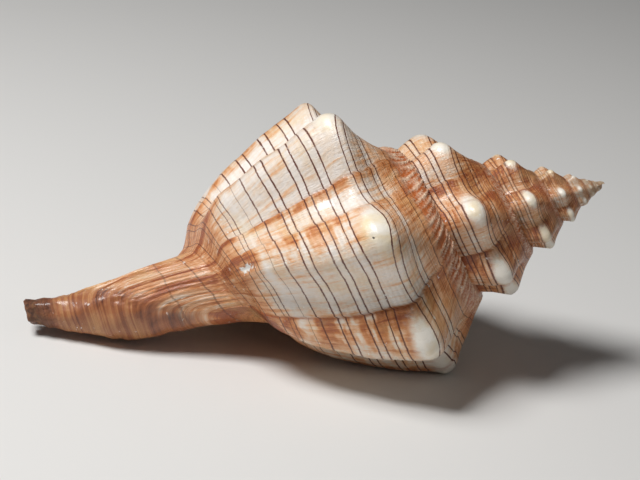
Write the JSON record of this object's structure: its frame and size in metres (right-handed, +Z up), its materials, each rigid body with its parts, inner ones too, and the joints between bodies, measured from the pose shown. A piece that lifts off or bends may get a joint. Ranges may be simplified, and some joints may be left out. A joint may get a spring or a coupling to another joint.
{
  "type": "horse conch shell",
  "caption": "Spindle-shaped sea snail shell with knobbed shoulders, a pointed spire, an open mouth and a long canal, lying on its side.",
  "frame": {"origin": "middle of the footprint, on the surface that the shell lies on", "axes": "+X along the shell towards the tip of the spire, +Z up, -Y towards the side that the picture shows"},
  "size_m": [0.1444, 0.086, 0.067],
  "materials": {
    "shell": "glossy cream to orange-brown shell with fine dark brown spiral lines and a brown canal"
  },
  "bodies": {
    "root": {"shell": "shell"}
  },
  "joints": []
}
